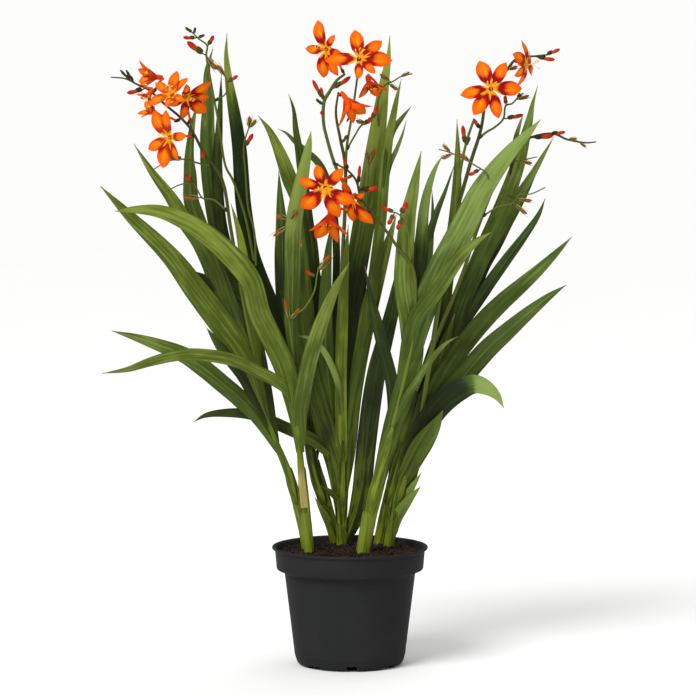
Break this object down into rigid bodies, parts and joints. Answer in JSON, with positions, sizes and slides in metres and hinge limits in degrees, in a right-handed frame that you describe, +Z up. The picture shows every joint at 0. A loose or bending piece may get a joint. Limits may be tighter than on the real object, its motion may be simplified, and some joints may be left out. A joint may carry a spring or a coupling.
{
  "type": "potted crocosmia",
  "caption": "Flowering crocosmia in a round black nursery pot: sword-shaped leaves in fans, arching flower stems with buds and star-shaped orange blooms.",
  "frame": {"origin": "centre of the pot's underside, on the surface that it stands on", "axes": "+Z up along the pot's axis, -Y to the front of the plant, +X to the right seen from the front"},
  "size_m": [0.6024, 0.2131, 0.7836],
  "materials": {
    "pot_plastic": "satin",
    "soil": "matte",
    "leaf": "satin",
    "stalk": "satin",
    "bud": "satin",
    "tepal": "satin",
    "stamen": "matte"
  },
  "bodies": {
    "root": {"pot": "pot_plastic", "soil": "soil", "shoot_left_front": "leaf", "shoot_left": "leaf", "shoot_left_back": "leaf", "shoot_centre": "leaf", "shoot_right_front": "leaf", "shoot_right": "leaf", "shoot_right_back": "leaf", "bloom_left_a": "tepal", "bloom_left_b": "tepal", "bloom_left_c": "tepal", "bloom_left_d": "tepal", "bloom_left_e": "tepal", "bloom_left_f": "tepal", "bloom_top_a": "tepal", "bloom_top_b": "tepal", "bloom_top_c": "tepal", "bloom_top_d": "tepal", "bloom_middle_a": "tepal", "bloom_middle_b": "tepal", "bloom_middle_c": "tepal", "bloom_right_a": "tepal", "bloom_right_b": "tepal"}
  },
  "joints": []
}
